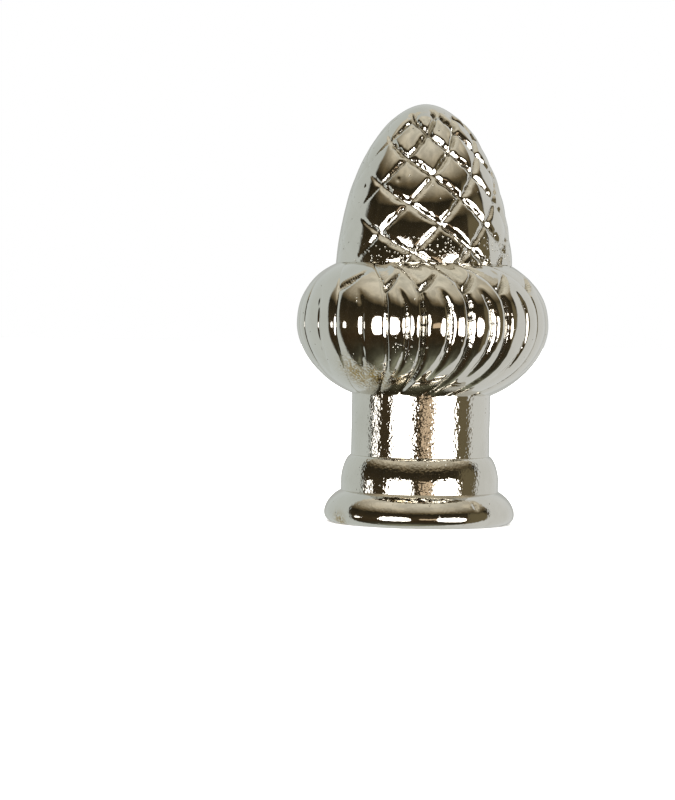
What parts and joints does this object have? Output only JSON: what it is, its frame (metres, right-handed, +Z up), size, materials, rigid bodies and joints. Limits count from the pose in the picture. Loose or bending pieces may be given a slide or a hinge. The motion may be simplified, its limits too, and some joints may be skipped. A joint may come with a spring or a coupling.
{
  "type": "finial",
  "caption": "Polished nickel acorn finial: lattice-cut acorn nut over a cup of carved leaves, on a plain neck with a stepped collar and a swelling foot.",
  "frame": {"origin": "middle of the flat underside of the foot, on the axis", "axes": "+Z up the axis towards the acorn's tip; the pictured front faces -Y"},
  "size_m": [0.0254, 0.0254, 0.0426],
  "materials": {
    "polished_nickel": "polished"
  },
  "bodies": {
    "root": {"finial": "polished_nickel"}
  },
  "joints": []
}
